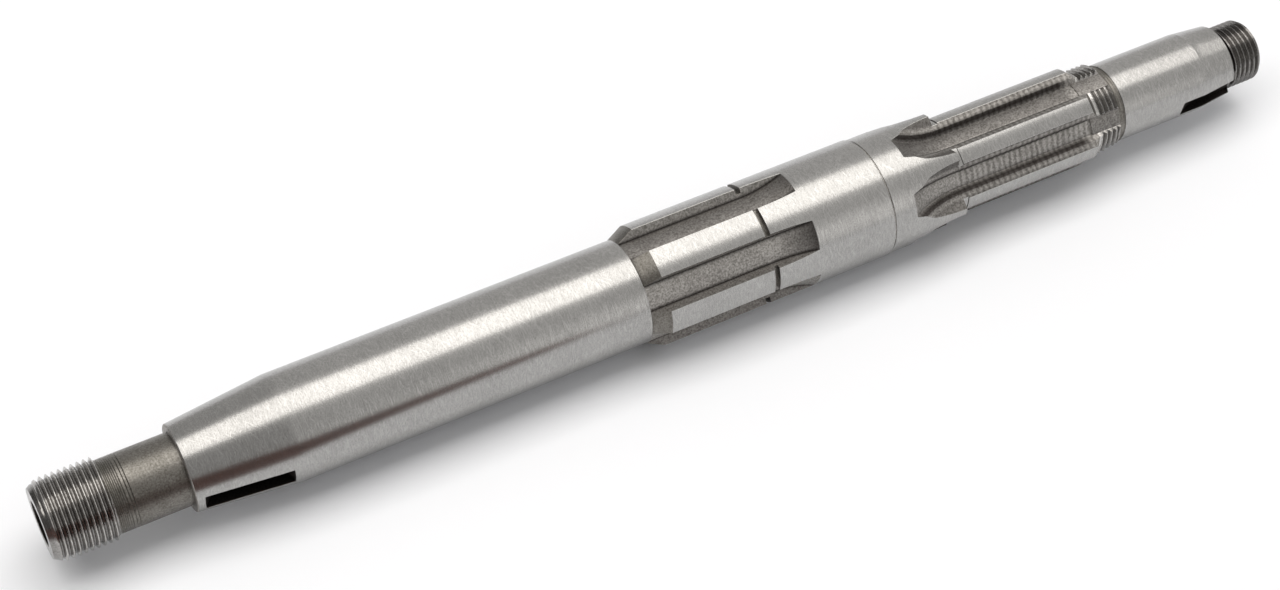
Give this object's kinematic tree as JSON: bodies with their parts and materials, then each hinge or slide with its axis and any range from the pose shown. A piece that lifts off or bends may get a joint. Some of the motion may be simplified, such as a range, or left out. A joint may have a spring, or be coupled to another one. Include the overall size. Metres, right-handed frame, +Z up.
{
  "type": "gearbox main shaft",
  "caption": "Gearbox main shaft with threaded and tapered keyed ends, a long plain cylinder, parallel and slanted splines, a bearing journal and a bore right through.",
  "frame": {"origin": "under the middle of the shaft's length, on the surface that its widest collar touches", "axes": "+X along the shaft from the clutch end to the far end, +Z up as the shaft lies"},
  "size_m": [0.318, 0.0296, 0.0295],
  "materials": {
    "steel": "turned and ground bare steel, fine rings across the axis, a thin film of oil"
  },
  "bodies": {
    "root": {"main_shaft": "steel"}
  },
  "joints": []
}
